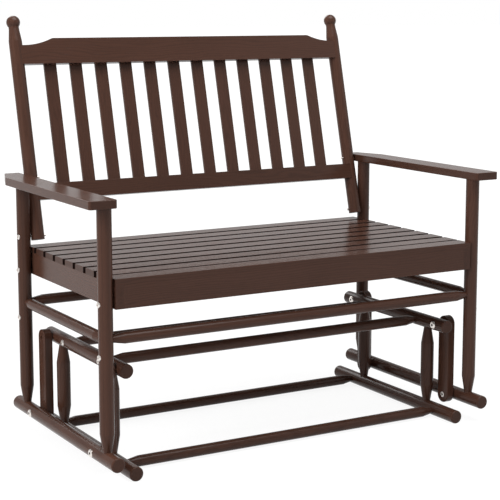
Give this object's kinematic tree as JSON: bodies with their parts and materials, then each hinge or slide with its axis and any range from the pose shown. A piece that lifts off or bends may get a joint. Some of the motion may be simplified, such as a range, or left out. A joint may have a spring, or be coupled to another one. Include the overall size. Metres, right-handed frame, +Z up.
{
  "type": "glider bench",
  "caption": "Wooden glider bench with a slatted seat, flat arms and a raked slatted back, hung on short links from a low floor frame so that it swings to and fro and stays level.",
  "frame": {"origin": "on the floor, under the middle of the bench's bounding box", "axes": "+X along the bench to the sitter's left, which is the right of the front view; +Y to the back; +Z up"},
  "size_m": [1.0996, 0.6768, 1.0126],
  "materials": {
    "wood": "dark brown satin stain",
    "zinc": "zinc plated"
  },
  "bodies": {
    "base": {"base_post_front_left": "wood", "base_post_front_right": "wood", "base_post_rear_left": "wood", "base_post_rear_right": "wood", "base_rail_left": "wood", "base_rail_right": "wood", "base_runner_left": "wood", "base_runner_right": "wood", "crossbar_bolts": "zinc", "lower_crossbar_front": "wood", "lower_crossbar_rear": "wood", "upper_crossbar_front": "wood", "upper_crossbar_rear": "wood", "upper_link_bolt_front_left": "zinc", "upper_link_bolt_front_right": "zinc", "upper_link_bolt_rear_left": "zinc", "upper_link_bolt_rear_right": "zinc"},
    "link_front_left": {"link_front_left": "wood"},
    "link_front_right": {"link_front_right": "wood"},
    "link_rear_left": {"link_rear_left": "wood"},
    "link_rear_right": {"link_rear_right": "wood"},
    "seat": {"arm_bolts": "zinc", "arm_left": "wood", "arm_right": "wood", "back_slats": "wood", "back_stile_left": "wood", "back_stile_right": "wood", "crest_rail": "wood", "cross_stretcher_front": "wood", "cross_stretcher_rear": "wood", "leg_bolts": "zinc", "leg_front_left": "wood", "leg_front_right": "wood", "leg_rear_left": "wood", "leg_rear_right": "wood", "lower_back_rail": "wood", "lower_link_bolt_front_left": "zinc", "lower_link_bolt_front_right": "zinc", "lower_link_bolt_rear_left": "zinc", "lower_link_bolt_rear_right": "zinc", "seat_apron_front": "wood", "seat_apron_rear": "wood", "seat_bearer": "wood", "seat_runner_left": "wood", "seat_runner_right": "wood", "seat_side_board_left": "wood", "seat_side_board_right": "wood", "seat_slat_1": "wood", "seat_slat_2": "wood", "seat_slat_3": "wood", "seat_slat_4": "wood", "seat_slat_5": "wood", "seat_slat_6": "wood", "seat_slat_7": "wood", "seat_slat_8": "wood", "seat_slat_9": "wood", "side_stretcher_left": "wood", "side_stretcher_right": "wood"}
  },
  "joints": [
    {"name": "link_front_left_swing", "type": "hinge", "parent": "base", "child": "link_front_left", "pos_m": [-0.4714, -0.22544, 0.238], "axis": [1, 0, 0], "range_deg": [-15, 15]},
    {"name": "seat_level", "type": "hinge", "parent": "link_front_left", "child": "seat", "pos_m": [-0.4714, -0.22544, 0.053], "axis": [1, 0, 0], "range_deg": [-15, 15]},
    {"name": "link_front_right_swing", "type": "hinge", "parent": "base", "child": "link_front_right", "pos_m": [0.4714, -0.22544, 0.238], "axis": [1, 0, 0], "range_deg": [-15, 15]},
    {"name": "link_rear_left_swing", "type": "hinge", "parent": "base", "child": "link_rear_left", "pos_m": [-0.4714, 0.14056, 0.238], "axis": [1, 0, 0], "range_deg": [-15, 15]},
    {"name": "link_rear_right_swing", "type": "hinge", "parent": "base", "child": "link_rear_right", "pos_m": [0.4714, 0.14056, 0.238], "axis": [1, 0, 0], "range_deg": [-15, 15]}
  ],
  "couplings": [
    {"joint": "seat_level", "follows": "link_front_left_swing", "ratio": -1},
    {"joint": "link_front_right_swing", "follows": "link_front_left_swing", "ratio": 1},
    {"joint": "link_rear_left_swing", "follows": "link_front_left_swing", "ratio": 1},
    {"joint": "link_rear_right_swing", "follows": "link_front_left_swing", "ratio": 1}
  ]
}
